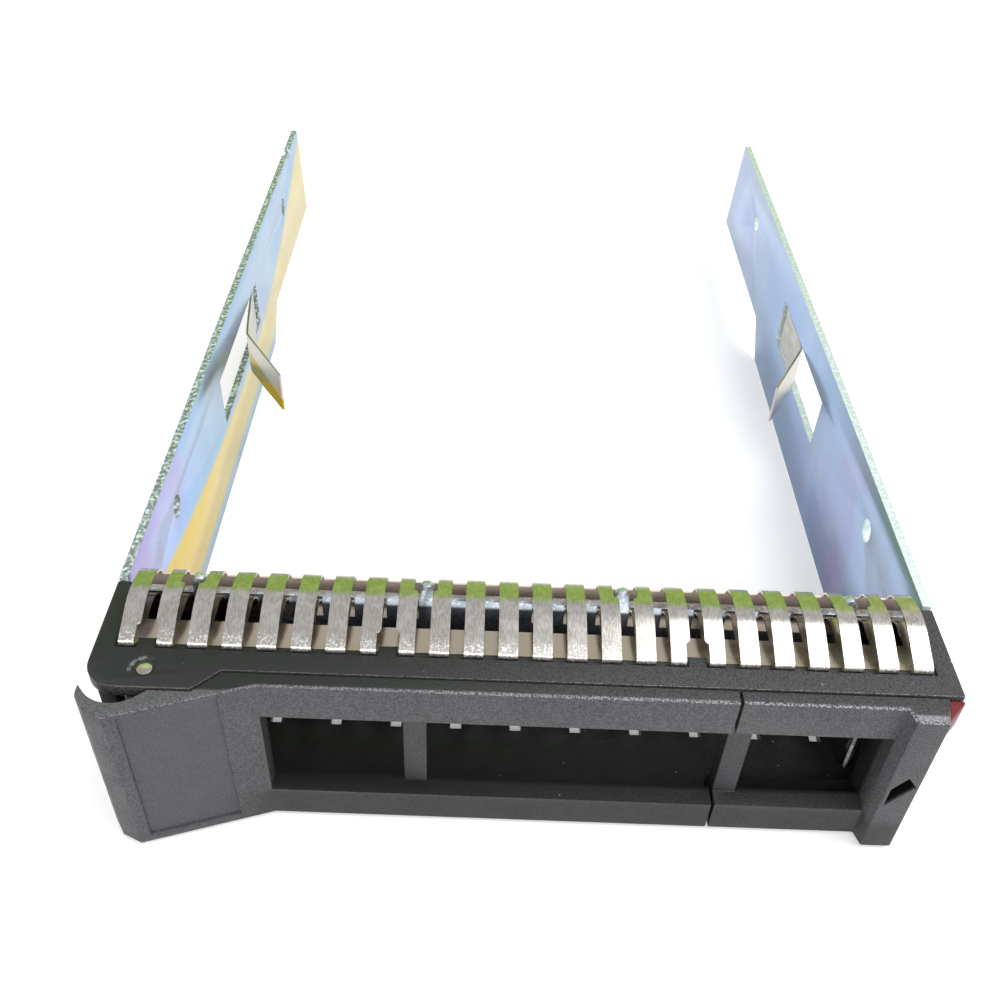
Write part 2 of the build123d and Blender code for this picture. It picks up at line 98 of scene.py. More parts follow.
def plug(tree, value, socket):
    """Link a socket to another, or set it to a number or a colour."""
    if hasattr(value, "is_linked"):
        tree.links.new(value, socket)
    elif socket.type == "RGBA" and len(value) == 3:
        socket.default_value = (*value, 1)
    else:
        socket.default_value = value


def maths(tree, operation, first, second=0.0, third=0.0):
    """One step of arithmetic on two or three values."""
    return add(tree, "ShaderNodeMath", operation=operation, in_0=first, in_1=second, in_2=third).outputs[0]


def product(tree, *values):
    """Several masks multiplied together."""
    result = values[0]
    for value in values[1:]:
        result = maths(tree, "MULTIPLY", result, value)
    return result


def step(tree, value, low, high, start=0.0, end=1.0):
    """A soft step: start where the value is at low, end where it is at high, smooth between."""
    return add(tree, "ShaderNodeMapRange", interpolation_type="SMOOTHSTEP", in_0=value, in_1=low, in_2=high,
               in_3=start, in_4=end).outputs[0]


def between(tree, value, low, high, soft):
    """One inside the range from low to high, nothing outside it, with soft borders."""
    return product(tree, step(tree, value, low - soft, low + soft),
                   step(tree, value, high - soft, high + soft, 1, 0))


def paint(tree, mask, under, over):
    """The colour over laid on the colour under where the mask is one."""
    return add(tree, "ShaderNodeMix", data_type="RGBA", in_0=mask, in_6=under, in_7=over).outputs[2]


def cloud(tree, place, scale, detail=3.0):
    """A cloudy value around a half, with the scale in cells per metre."""
    return add(tree, "ShaderNodeTexNoise", in_0=place, in_2=scale, in_3=detail).outputs[0]


def stretch(tree, place, x, y, z):
    """The place scaled along each axis, so that a cloud drawn on it runs in streaks."""
    return add(tree, "ShaderNodeMapping", in_0=place, in_3=(x, y, z)).outputs[0]


def facing(tree):
    """The way the surface faces, as its X, Y and Z."""
    return add(tree, "ShaderNodeSeparateXYZ", in_0=add(tree, "ShaderNodeNewGeometry").outputs[1]).outputs


def shader(name, metallic, level=0.5):
    """A new material: its tree, its Principled shader, the place on the piece and its X, Y and Z."""
    material = bpy.data.materials.new(name)
    material.use_nodes = True
    tree = material.node_tree
    principled = tree.nodes["Principled BSDF"]
    principled.inputs["Metallic"].default_value = metallic
    principled.inputs["Specular IOR Level"].default_value = level
    place = add(tree, "ShaderNodeTexCoord").outputs[3]
    axes = add(tree, "ShaderNodeSeparateXYZ", in_0=place).outputs
    return material, tree, principled, place, axes


def finish(tree, principled, colour, rough, normal):
    """Plug the colour, the roughness and the relief into the shader."""
    for value, socket in ((colour, "Base Color"), (rough, "Roughness"), (normal, "Normal")):
        plug(tree, value, principled.inputs[socket])


def group(name, inputs, outputs):
    """An empty shader group with named inputs, each with its usual value, and named outputs."""
    tree = bpy.data.node_groups.new(name, "ShaderNodeTree")
    for title, value in inputs:
        kind = "NodeSocketVector" if value is None else "NodeSocketFloat"
        socket = tree.interface.new_socket(title, in_out="INPUT", socket_type=kind)
        if value is not None:
            socket.default_value = value
    for title, kind in outputs:
        tree.interface.new_socket(title, in_out="OUTPUT", socket_type="NodeSocket" + kind)
    return tree, tree.nodes.new("NodeGroupInput").outputs, tree.nodes.new("NodeGroupOutput").inputs


def use(tree, which, *values):
    """A group placed in a material with its own values."""
    node = tree.nodes.new("ShaderNodeGroup")
    node.node_tree = which
    for value, socket in zip(values, node.inputs):
        plug(tree, value, socket)
    return node.outputs


# Metal skin: blotches, fine grain and the relief of both.
metal_skin, given, out = group(
    "metal skin", (("Place", None), ("Blotch size", 300), ("Grain size", 5000), ("Relief", 0.2)),
    (("Blotch", "Float"), ("Grain", "Float"), ("Normal", "Vector")))
blotch = cloud(metal_skin, given[0], given[1], 4)
grain = cloud(metal_skin, given[0], given[2], 2)
relief = maths(metal_skin, "MULTIPLY_ADD", blotch, 2.0, grain)
bump = add(metal_skin, "ShaderNodeBump", in_0=given[3], in_1=0.02 * MM, in_2=relief).outputs[0]
for value, socket in zip((blotch, grain, bump), out):
    plug(metal_skin, value, socket)

# Sheared edge: a mask of the torn break along the sides of a thin vertical sheet, and a mask of painted
# glints on it.
sheared_edge, given, out = group("sheared edge", (("Place", None), ("Grain size", 1500)),
                                 (("Edge", "Float"), ("Painted glints", "Float")))
across = maths(sheared_edge, "ABSOLUTE", facing(sheared_edge)[0])
plug(sheared_edge, step(sheared_edge, across, 0.35, 0.75, 1, 0), out[0])
plug(sheared_edge, step(sheared_edge, cloud(sheared_edge, given[0], given[1], 3), 0.4, 0.66), out[1])


def straw_reflection_band(tree, y, z):
    """The mask and the colour of a painted straw-yellow reflection over the rail's foot. Its top is lowest,
    10 mm up, at
    12 mm behind the middle, and rises with the square of the distance from there."""
    off = maths(tree, "SUBTRACT", y, 12 * MM)
    slope = step(tree, off, -5 * MM, 5 * MM, 1.5, 3.0)
    top = maths(tree, "MULTIPLY_ADD", product(tree, off, off, slope), 1.0, 10 * MM)
    lift = maths(tree, "SUBTRACT", z, top)
    band = product(tree, step(tree, lift, -1.2 * MM, 0.6 * MM, 1, 0), step(tree, z, 1.0 * MM, 3.5 * MM))
    return band, paint(tree, step(tree, y, -40 * MM, 30 * MM), (0.66, 0.47, 0.04), (0.60, 0.49, 0.16))


def zinc_plate(name, light, painted_foot_shade, lilac, rear, sheared, foot_shade_height, straw_reflection):
    """Bright zinc: a light shade above and painted shade, a deeper one, below; a cooler one to the rear,
    lilac clouds towards the front, a painted straw-yellow reflection where its strength is above nothing,
    and sheared edges with painted glints."""
    material, tree, principled, place, (x, y, z) = shader(name, 1.0)
    blotch, grain, normal = use(tree, metal_skin, place, 90, 6000, 0.12)
    clouds = cloud(tree, stretch(tree, place, 1, 0.45, 0.8), 70, 3)
    height = maths(tree, "MULTIPLY_ADD", clouds, 8 * MM, z)
    # Painted shade: a deeper colour over the foot of the rail, below a cloudy line.
    colour = paint(tree, step(tree, height, foot_shade_height, foot_shade_height + 9 * MM), painted_foot_shade, light)
    rearward = step(tree, maths(tree, "MULTIPLY_ADD", clouds, 40 * MM, y), -48 * MM, 9 * MM)
    colour = paint(tree, product(tree, rearward, 0.6), colour, rear)
    patch = product(tree, step(tree, cloud(tree, place, 55, 2), 0.47, 0.62),
                    step(tree, rearward, 0, 0.8, 0.95, 0.25))
    colour = paint(tree, patch, colour, lilac)
    # Painted reflection: a straw-yellow band over the foot of the rail.
    if straw_reflection:
        band, reflected_yellow = straw_reflection_band(tree, y, z)
        colour = paint(tree, product(tree, band, straw_reflection), colour, reflected_yellow)
    colour = paint(tree, step(tree, blotch, 0.45, 0.75, 0, 0.12), colour, (0.66, 0.74, 0.82))
    # The sheared edges get their own shade, flecked with painted glints.
    edge, painted_glints = use(tree, sheared_edge, place, 1500)
    colour = paint(tree, edge, colour, paint(tree, painted_glints, sheared, (0.80, 0.88, 0.88)))
    rough = maths(tree, "MULTIPLY_ADD", edge, 0.35, step(tree, grain, 0.3, 0.7, 0.24, 0.36))
    finish(tree, principled, colour, rough, normal)
    return material


for side, *shades, foot_shade_height, straw_reflection in (
        ("left", (0.31, 0.46, 0.80), (0.23, 0.36, 0.58), (0.38, 0.33, 0.60), (0.22, 0.37, 0.39),
         (0.25, 0.31, 0.28), 3 * MM, 0.95),
        ("right", (0.30, 0.38, 0.52), (0.075, 0.11, 0.12), (0.32, 0.25, 0.46), (0.24, 0.37, 0.60),
         (0.62, 0.72, 0.72), 9 * MM, 0)):
    rail = softened(side + "_side_rail", side + "_rail", "frame", 0.15 * MM)
    rail.data.materials.append(zinc_plate(side + " rail zinc", *shades, foot_shade_height, straw_reflection))

# ---- Cross plate -----------------------------------------------------------------------------
# A stamped zinc-plated sheet between the rails, punched with round vents and folded back at both
# ends. Four posts stand up from its upper edge, between the fingers of the contact strip.

cross_plate = softened("vented_cross_plate", "cross_plate", "frame", 0.12 * MM)


def vent_plate_zinc():
    """Bright zinc with a blue-grey cast and painted glints along its upper edge. The front face, closed in
    by the
    housing, is painted nearly black: painted shade and a painted reflection of its dark walls."""
    material, tree, principled, place, (x, y, z) = shader("vented plate zinc", 1.0)
    blotch, grain, normal = use(tree, metal_skin, place, 350, 4000, 0.3)
    colour = paint(tree, step(tree, blotch, 0.4, 0.65), (0.48, 0.56, 0.62), (0.72, 0.79, 0.86))
    # Painted glints: near-white flecks along the upper edge.
    painted_glints = product(tree, step(tree, cloud(tree, place, 2500, 2), 0.56, 0.64),
                      step(tree, z, 23 * MM, 24 * MM))
    colour = paint(tree, painted_glints, colour, (0.95, 0.97, 1.0))
    # Painted shade and painted reflection: the front face below the top nearly black.
    painted_dark_reflection = product(tree, step(tree, facing(tree)[1], -0.3, -0.6),
                     step(tree, z, 23.2 * MM, 23.8 * MM, 0.93, 0))
    colour = paint(tree, painted_dark_reflection, colour, (0.02, 0.02, 0.025))
    finish(tree, principled, colour, step(tree, grain, 0.3, 0.7, 0.25, 0.45), normal)
    return material


cross_plate.data.materials.append(vent_plate_zinc())

# ---- Frame rivets and housing screws -----------------------------------------------------------
# Nickel-plated steel. Two solid rivets a side hold each rail to the flange of the cross plate, and
# four pan-head screws with a six-lobed recess hold the plate to the bosses of the plastic housing.


def turned(profile, foot, axis, lobes=0.0, steps=48):
    """A turned piece: each point of the profile is a height along the axis and a radius, carried
    round the axis. Lobes push the radii under 1 mm in and out six times round, as in a recess."""
    height, radius = np.array(profile, float).T
    angle = np.linspace(0, 2 * math.pi, steps, endpoint=False)
    wave = np.where((radius > 0) & (radius < 1.0 * MM), lobes, 0)
    reach = radius[:, None] * (1 + wave[:, None] * np.cos(6 * angle))
    along = np.array(axis, float)
    side = np.cross(along, (0, 0, 1) if abs(along[2]) < 0.9 else (0, 1, 0))
    other = np.cross(along, side)
    points = (np.array(foot) + height[:, None, None] * along
              + reach[..., None] * (np.cos(angle)[:, None] * side + np.sin(angle)[:, None] * other))
    return woven(points, around=True)


def woven(points, along=False, around=False):
    """A grid of points joined into four-sided faces, closed along either way where asked."""
    rows, columns = points.shape[:2]
    number = np.arange(rows * columns).reshape(rows, columns)
    if along:
        number = np.vstack((number, number[:1]))
    if around:
        number = np.hstack((number, number[:, :1]))
    faces = np.stack((number[:-1, :-1], number[:-1, 1:], number[1:, 1:], number[1:, :-1]), -1)
    return points.reshape(-1, 3), faces.reshape(-1, 4)


def mesh_of(name, nets):
    """One mesh from several nets of points and faces, with shared points merged, empty faces
    removed, and the faces turned outwards."""
    starts = np.cumsum([0] + [len(points) for points, faces in nets])
    points = np.vstack([points for points, faces in nets])
    faces = np.vstack([faces + start for (_, faces), start in zip(nets, starts)])
    mesh = bpy.data.meshes.new(name)
    mesh.from_pydata(points, [], faces.tolist())
    shell = bmesh.new()
    shell.from_mesh(mesh)
    bmesh.ops.remove_doubles(shell, verts=shell.verts, dist=0.002 * MM)
    bmesh.ops.dissolve_degenerate(shell, edges=shell.edges, dist=0.001 * MM)
    bmesh.ops.recalc_face_normals(shell, faces=shell.faces)
    shell.to_mesh(mesh)
    shell.free()
    return mesh


def nickel():
    """Nickel plate, a little warm, with fine turning scratches and dark spots."""
    material, tree, principled, place, axes = shader("nickel plate", 1.0)
    blotch, grain, normal = use(tree, metal_skin, place, 900, 9000, 0.25)
    colour = paint(tree, step(tree, blotch, 0.42, 0.66), (0.42, 0.38, 0.32), (0.80, 0.76, 0.68))
    finish(tree, principled, colour, step(tree, grain, 0.3, 0.7, 0.18, 0.34), normal)
    return material


nickel_plate = nickel()
RIVET = ((-0.05, 0), (-0.05, 1.2), (2.45, 1.2), (2.5, 1.98), (2.74, 1.95), (2.98, 1.55),
         (3.07, 0.9), (3.07, 0))
for side, inward in (("left", 1), ("right", -1)):
    nets = [turned(np.array(RIVET) * MM, (-inward * 52.3 * MM, -61.95 * MM, height * MM), (inward, 0, 0))
            for height in (6.0, 15.0)]
    piece = finished(side + "_rivets", mesh_of(side + "_rivets", nets), [side + "_frame_rivets"], "frame", 0)
    piece.data.materials.append(nickel_plate)
SCREW = ((0, 0), (0.3, 1.2), (0.9, 1.5), (6.0, 1.5), (6.0, 2.2), (6.25, 2.3), (6.75, 2.2), (7.1, 1.75),
         (7.2, 1.2), (7.2, 0.86), (7.1, 0.78), (6.45, 0.74), (6.4, 0))
nets = [turned(np.array(SCREW) * MM, (x * MM, -70.55 * MM, height * MM), (0, 1, 0), lobes=0.16)
        for x in (-46.8, 46.8) for height in (5.0, 16.0)]
screws = finished("plate_screws", mesh_of("plate_screws", nets), ["housing_screws"], "frame", 0)
screws.data.materials.append(nickel_plate)

# ---- Drive clips -----------------------------------------------------------------------------
# A leaf of 0.4 mm spring steel on the outside of each rail. It comes in through the window, lies
# level with the rail, and turns into the bay, where its free end presses on the drive.


def rounded_line(points, passes):
    """A line whose corners are cut again and again a quarter of the way in, ends kept."""
    line = np.array(points, float)
    for _ in range(passes):
        near, far = line[:-1] * 0.75 + line[1:] * 0.25, line[:-1] * 0.25 + line[1:] * 0.75
        inner = np.stack((near, far), 1).reshape(-1, 2)
        line = np.vstack((line[:1], inner[1:-1], line[-1:]))
    return line


def standing_leaf(plan, low, high, corner):
    """A leaf that stands on edge: the plan line carried from low to high, with both corners at its
    free end cut back on a quarter of an ellipse."""
    line = rounded_line(plan, 2)
    run = np.concatenate(([0], np.cumsum(np.hypot(*np.diff(line, axis=0).T))))
    left = np.clip(run[-1] - run, 0, corner)
    drop = corner - np.sqrt(np.maximum(corner ** 2 - (corner - left) ** 2, 0))
    rise = np.linspace(0, 1, 7)
    z = (low + drop)[:, None] * (1 - rise) + (high - drop)[:, None] * rise
    x, y = (np.repeat(line[:, i, None], len(rise), 1) for i in (0, 1))
    return woven(np.stack((x, y, z), -1))


def clip_steel(name, side):
    """Spring steel rolled along its length, dulled by oil, with a painted highlight that makes the free end
    lighter, and a painted straw-yellow reflection on the lower half of the left one's."""
    material, tree, principled, place, (x, y, z) = shader(name, 1.0)
    blotch, grain, normal = use(tree, metal_skin, stretch(tree, place, 1, 1, 6), 160, 2500, 0.15)
    colour = paint(tree, step(tree, blotch, 0.4, 0.65), (0.36, 0.35, 0.31), (0.48, 0.46, 0.42))
    bend = 7.5 * MM if side > 0 else 6.0 * MM
    free = step(tree, y, bend + 0.5 * MM, bend - 0.5 * MM)
    low = step(tree, maths(tree, "MULTIPLY_ADD", y, -0.15, z), 15.3 * MM, 15.9 * MM, 1, 0)
    # Painted highlight: the free end lighter.
    colour = paint(tree, free, colour, (0.52, 0.48, 0.43))
    # Painted reflection: a straw-yellow tint on the lower half of the left clip's free end.
    if side < 0:
        colour = paint(tree, product(tree, free, low), colour, (0.42, 0.33, 0.01))
    finish(tree, principled, colour, step(tree, grain, 0.3, 0.7, 0.26, 0.38), normal)
    return material


ROOT = ((52.4, 33.25), (52.4, 24.65), (52.28, 24.15), (51.55, 22.8), (51.4, 22.25))
for name, side, free_end in (("left", -1, ((49.6, 7.1), (49.15, 5.9), (41.5, -6.35))),
                             ("right", 1, ((51.4, 9.1), (51.12, 7.9), (44.55, -4.7)))):
    plan = np.array(ROOT + free_end) * MM * (side, 1)
    mesh = mesh_of(name + "_drive_clip", [standing_leaf(plan, 12.15 * MM, 19.75 * MM, 0.25 * MM)])
    clip = finished(name + "_drive_clip", mesh, [name + "_spring_clip"], "frame", 0.06 * MM, 1, 0.4 * MM)
    clip.data.materials.append(clip_steel(name + " clip steel", side))

# ---- Contact strip ---------------------------------------------------------------------------
# One strip of 0.25 mm sheet, slotted 23 times and folded over. Its base band and legs lie on the
# housing's ledge, its 24 fingers arch over them, and a skirt hooks behind the cross plate.

LEVEL, CREST, PLATE_TOP = 25.725, 28.475, 24.6
FOLD, BAND_FRONT, TAB_REAR, BAND_REAR, SKIRT = -76.85, -76.25, -75.4, -72.15, -64.55
HALF_FINGER, HALF_LEG, HALF_HOLE, HALF_STRIP = 1.2, 1.0, 1.2, 49.5
TAB_NOTCH, POST_NOTCH = 0.5, 0.6
FINGER_LINE = (
    (FOLD + 0.6, LEVEL), (FOLD + 0.1, LEVEL), (FOLD - 0.05, LEVEL + 0.1), (FOLD, LEVEL + 0.75),
    (FOLD + 0.3, LEVEL + 1.02), (FOLD + 2.4, LEVEL + 1.65), (FOLD + 4.4, CREST - 0.4),
    (FOLD + 6.6, CREST + 0.06), (FOLD + 8.8, CREST - 0.08), (FOLD + 10.8, CREST - 0.55),
    (SKIRT + 0.1, CREST - 1.2), (SKIRT + 0.62, PLATE_TOP + 1.4))
LEG_LINE = ((BAND_REAR, LEVEL), (-67.85, LEVEL), (-66.65, PLATE_TOP + 0.35), (-65.95, PLATE_TOP - 0.5),
            (-65.95, PLATE_TOP - 3.2))
SKIRT_LINE = ((SKIRT + 0.62, PLATE_TOP + 1.4), (SKIRT + 0.8, PLATE_TOP), (SKIRT + 0.35, PLATE_TOP - 3.0))
FINGERS = -48.2 + 96.4 / 23 * np.arange(24)
TABS, POSTS = (0, 7, 16), (1, 8, 14, 21)
COLUMNS = np.array((-1.2, -1.0, -0.7, -0.6, 0.6, 0.7, 1.0, 1.2))


def soft_step(value, middle, width):
    """A smooth step from nothing to one, centred on the middle."""
    t = np.clip((value - middle) / width + 0.5, 0, 1)
    return t * t * (3 - 2 * t)


def carried(line, offsets, left, right):
    """A strip: each point of the line (Y, Z) is spread across X at the offsets, kept between a left
    and a right limit that vary along the line."""
    x = np.clip(offsets[None, :], left[:, None], right[:, None])
    y, z = (np.repeat(line[:, i, None], len(offsets), 1) for i in (0, 1))
    return woven(np.stack((x, y, z), -1) * MM)


def strip_nets():
    """The folded strip: fingers and legs carried along their rounded lines, joined by a flat band
    with a hole for each tab and by the skirt. A finger is notched beside each tab and each post."""
    finger = rounded_line(FINGER_LINE, 3)
    leg = rounded_line(LEG_LINE, 3)
    by_tab = TAB_NOTCH * (1 - soft_step(finger[:, 0], FOLD + 2.45, 0.4))
    by_post = POST_NOTCH * soft_step(finger[:, 0], SKIRT - 3.5, 0.5) * (finger[:, 1] > PLATE_TOP + 1.2)
    one = np.ones(len(leg))
    nets = []
    for number, middle in enumerate(FINGERS):
        left, right = (by_tab * (gap in TABS) + by_post * (gap in POSTS) for gap in (number - 1, number))
        nets.append(carried(finger, middle + COLUMNS,
                            middle - HALF_FINGER + left, middle + HALF_FINGER - right))
        nets.append(carried(leg, middle + COLUMNS[1:-1],
                            (middle - HALF_LEG) * one, (middle + HALF_LEG) * one))
    tabs = (FINGERS[list(TABS)] + FINGERS[[number + 1 for number in TABS]]) / 2
    breaks = np.concatenate(((FINGERS[:, None] + COLUMNS).ravel(), tabs - HALF_HOLE, tabs + HALF_HOLE,
                             (-HALF_STRIP, HALF_STRIP)))
    breaks = np.unique(breaks.round(4))
    band_line = ((BAND_FRONT, LEVEL), (TAB_REAR, LEVEL), (BAND_REAR, LEVEL))
    for line, holed in ((band_line, True), (SKIRT_LINE, False)):
        line, one = np.array(line), np.ones(len(line))
        points, faces = carried(line, breaks, breaks[0] * one, breaks[-1] * one)
        if holed:
            centre = points[faces].mean(1) / MM
            in_tab = (np.abs(centre[:, 0, None] - tabs) < HALF_HOLE).any(1) & (centre[:, 1] < TAB_REAR)
            faces = faces[~in_tab]
        nets.append((points, faces))
    return nets


def strip_metal():
    """Nickel-silver strip: a brushed grain in slanting strokes, blotched where it has been handled, flecked
    with painted glints along the front fold, where it is also rougher, and brown in the shade behind the
    fingers."""
    material, tree, principled, place, (x, y, z) = shader("contact strip metal", 1.0)
    stroke = add(tree, "ShaderNodeMapping", in_0=place, in_2=(0, 0, 0.45), in_3=(5, 1, 1)).outputs[0]
    blotch, grain, normal = use(tree, metal_skin, place, 700, 7000, 0.3)
    brushed = cloud(tree, stroke, 1200, 4)
    colour = paint(tree, step(tree, brushed, 0.36, 0.64), (0.44, 0.415, 0.38), (0.57, 0.545, 0.51))
    colour = paint(tree, step(tree, blotch, 0.45, 0.68, 0, 0.5), colour, (0.68, 0.66, 0.63))
    front = step(tree, y, -74.5 * MM, -76.3 * MM)
    # Painted glints: near-white flecks along the front fold.
    front_glints = product(tree, step(tree, cloud(tree, place, 3200, 3), 0.52, 0.62), front)
    colour = paint(tree, front_glints, colour, (0.98, 0.97, 0.95))
    base = step(tree, z, 25.95 * MM, 26.1 * MM, 1, 0)
    colour = paint(tree, base, colour, (0.52, 0.45, 0.36))
    behind = step(tree, y, -64.4 * MM, -64.1 * MM)
    colour = paint(tree, behind, colour, (0.80, 0.66, 0.56))
    rough = maths(tree, "MULTIPLY_ADD", brushed, 0.12, maths(tree, "MULTIPLY_ADD", front, 0.1, 0.14))
    rough = maths(tree, "MULTIPLY_ADD", behind, 0.4, rough)
    finish(tree, principled, colour, rough, normal)
    return material


strip = finished("contact_finger_strip", mesh_of("contact_finger_strip", strip_nets()), ["emi_finger_strip"],
                 "frame", 0.05 * MM, 1, 0.25 * MM)
strip.data.materials.append(strip_metal())

# ---- Housing ---------------------------------------------------------------------------------
# Injection-moulded black plastic with a fine spark-eroded texture. A shallow box that carries the
# strip on its ledge, the lever on its lobe, and the guides of the latch inside.

# Moulded skin: a cloudy shade, the fine texture's relief, and bright specks of dust.
moulded_skin, given, out = group(
    "moulded skin", (("Place", None), ("Texture size", 3500), ("Relief", 0.3), ("Dust", 0.02)),
    (("Cloud", "Float"), ("Specks", "Float"), ("Normal", "Vector")))
texture = cloud(moulded_skin, given[0], given[1], 2)
relief = add(moulded_skin, "ShaderNodeBump", in_0=given[2], in_1=0.03 * MM, in_2=texture).outputs[0]
cells = add(moulded_skin, "ShaderNodeTexVoronoi", in_0=given[0], in_2=900.0)
lot = add(moulded_skin, "ShaderNodeSeparateColor", in_0=cells.outputs[1]).outputs[0]
specks = product(moulded_skin, step(moulded_skin, cells.outputs[0], 0.06, 0.16, 1, 0),
                 maths(moulded_skin, "LESS_THAN", lot, given[3]))
for value, socket in zip((cloud(moulded_skin, given[0], 260, 4), specks, relief), out):
    plug(moulded_skin, value, socket)

# Rubbed edge: a mask of the worn, whitened fronts of the rounded upper corners.
rubbed_edge, given, out = group("rubbed edge", (("Place", None), ("Chip size", 4500)), (("Wear", "Float"),))
across, along, upward = facing(rubbed_edge)
rounded = product(rubbed_edge, between(rubbed_edge, upward, 0.42, 0.93, 0.12),
                  step(rubbed_edge, along, 0, -0.3))
chips = step(rubbed_edge, cloud(rubbed_edge, given[0], given[1], 3), 0.42, 0.6)
plug(rubbed_edge, product(rubbed_edge, rounded, chips), out[0])


def black_plastic(name, extra=None):
    """Black moulded plastic with a fine mottle. It has painted shade on the upper faces at the left and on
    the lower bars, and its upper lip of the front is pale, partly wear and partly a painted sheen growing to
    the right. It is whitened on worn corners and dusty towards the right, and painted nearly black inside as
    painted shade, where it is also rougher. The extra step adds a piece's own marks, painted shade among
    them."""
    material, tree, principled, place, (x, y, z) = shader(name, 0.0, 0.42)
    clouds, specks, normal = use(tree, moulded_skin, place, 3500, 0.35, 0.05)
    upper = step(tree, facing(tree)[2], 0.9, 0.98)
    to_right = step(tree, x, -45 * MM, 45 * MM)
    mottle = step(tree, cloud(tree, place, 4200, 3), 0.36, 0.64)
    colour = paint(tree, mottle, (0.026, 0.026, 0.028), (0.068, 0.068, 0.072))
    # Painted shade: the upper faces darker towards the left, away from the right lamp's sheen.
    colour = paint(tree, product(tree, upper, step(tree, to_right, 0, 0.9, 0.9, 0)), colour,
                   (0.008, 0.009, 0.009))
    # Painted shade: the lower bars darker than the upper one.
    low = product(tree, step(tree, z, 4.5 * MM, 6.5 * MM, 1, 0), step(tree, x, -38 * MM, -30 * MM), 0.7)
    colour = paint(tree, low, colour, (0.008, 0.008, 0.008))
    # The pale upper lip is partly rubbed wear and partly a painted sheen that grows to the right.
    lip = product(tree, upper, step(tree, y, -83.2 * MM, -83.6 * MM))
    lip_wear_and_sheen = paint(tree, mottle, (0.19, 0.19, 0.20), (0.36, 0.36, 0.38))
    colour = paint(tree, product(tree, lip, step(tree, to_right, 0, 1, 0.3, 0.85)), colour, lip_wear_and_sheen)
    high = step(tree, z, 24 * MM, 25 * MM)
    wear = use(tree, rubbed_edge, place, 4500)[0]
    worn = product(tree, wear, high, maths(tree, "MULTIPLY_ADD", to_right, 0.5, 0.25))
    colour = paint(tree, worn, colour, (0.42, 0.42, 0.44))
    dust = product(tree, specks, upper, maths(tree, "MULTIPLY_ADD", to_right, 0.6, 0.1))
    colour = paint(tree, dust, colour, (0.45, 0.45, 0.46))
    # Painted shade: the inside nearly black; it is also rougher there.
    inside = product(tree, step(tree, y, -80.6 * MM, -79.6 * MM),
                     between(tree, z, 1.75 * MM, 24.2 * MM, 0.1 * MM))
    colour = paint(tree, inside, colour, (0.004, 0.005, 0.005))
    rough = maths(tree, "MULTIPLY_ADD", inside, 0.2, step(tree, clouds, 0.3, 0.7, 0.44, 0.56))
    if extra:
        colour = extra(tree, place, (x, y, z), colour)
    finish(tree, principled, colour, rough, normal)
    return material


HINGE = (-45.4, -80.55)


def pin_ring(tree, place, axes, colour):
    """Painted shade in the gap round the pin, and outside it a ring rubbed pale on its left and rear."""
    right, rear = (maths(tree, "SUBTRACT", axis, at * MM) for axis, at in zip(axes, HINGE))
    reach = maths(tree, "SQRT", maths(tree, "MULTIPLY_ADD", right, right, product(tree, rear, rear)))
    gap = between(tree, reach, 1.1 * MM, 1.25 * MM, 0.1 * MM)
    ring = between(tree, reach, 1.45 * MM, 2.0 * MM, 0.2 * MM)
    side = step(tree, maths(tree, "SUBTRACT", rear, right), 0.4 * MM, 2.2 * MM)
    chips = step(tree, cloud(tree, place, 1800, 3), 0.42, 0.6)
    # Painted shade: the gap round the pin nearly black.
    colour = paint(tree, product(tree, gap, 0.8), colour, (0.004, 0.004, 0.004))
    return paint(tree, product(tree, ring, side, chips, 0.55), colour, (0.26, 0.27, 0.27))


housing = softened("moulded_housing", "bezel_housing", "frame", 0.15 * MM)
housing.data.materials.append(black_plastic("housing plastic", pin_ring))

# ---- Pivot pin and lever spring ----------------------------------------------------------------
# A ground nickel-plated pin pressed through the lobe, with its end peened slightly round. A torsion
# spring of 0.6 mm wire is wound on it and throws the lever open.

PIN = ((0.3, 0), (0.3, 0.85), (0.5, 1.0), (25.75, 1.0), (25.95, 0.93), (26.03, 0.7), (26.05, 0))
nets = [turned(np.array(PIN) * MM, (HINGE[0] * MM, HINGE[1] * MM, 0), (0, 0, 1))]
pin = finished("nickel_pivot_pin", mesh_of("nickel_pivot_pin", nets), ["pivot_pin"], "frame", 0)
pin.data.materials.append(nickel_plate)


def wire(path, radius, steps=12):
    """A round wire: a circle of the radius carried along the path, square to it. The first and the last
    two circles shrink to a point, which closes the ends."""
    way = np.gradient(path, axis=0)
    way /= np.linalg.norm(way, axis=1)[:, None]
    side = np.cross(way, (0, 0, 1))
    side /= np.linalg.norm(side, axis=1)[:, None]
    up = np.cross(side, way)
    angle = np.linspace(0, 2 * math.pi, steps, endpoint=False)
    reach = np.concatenate(([0, 0.8], np.ones(len(path) - 4), [0.8, 0]))[:, None, None] * radius
    ring = np.cos(angle)[None, :, None] * side[:, None] + np.sin(angle)[None, :, None] * up[:, None]
    return woven(path[:, None] + reach * ring, around=True)


COIL_RADIUS, COIL_START, PITCH_UP, TURNS = 1.75, 10.15, 0.95, 6
turns = np.linspace(0, TURNS, TURNS * 28 + 1)
angle = math.pi / 2 + 2 * math.pi * turns
coil = np.stack((HINGE[0] + COIL_RADIUS * np.cos(angle), HINGE[1] + COIL_RADIUS * np.sin(angle),
                 COIL_START + PITCH_UP * turns), -1)
lead = np.linspace(0, 1, 9)[:, None]
lever_leg = coil[0] + (1 - lead) * (4.8, 0, -0.06)
housing_leg = coil[-1] + lead * (-4.9, 0, 0.06)
cap = np.array((0.001, 0, 0))
path = np.vstack((lever_leg[:1] + cap, lever_leg[:-1], coil, housing_leg[1:], housing_leg[-1:] - cap))


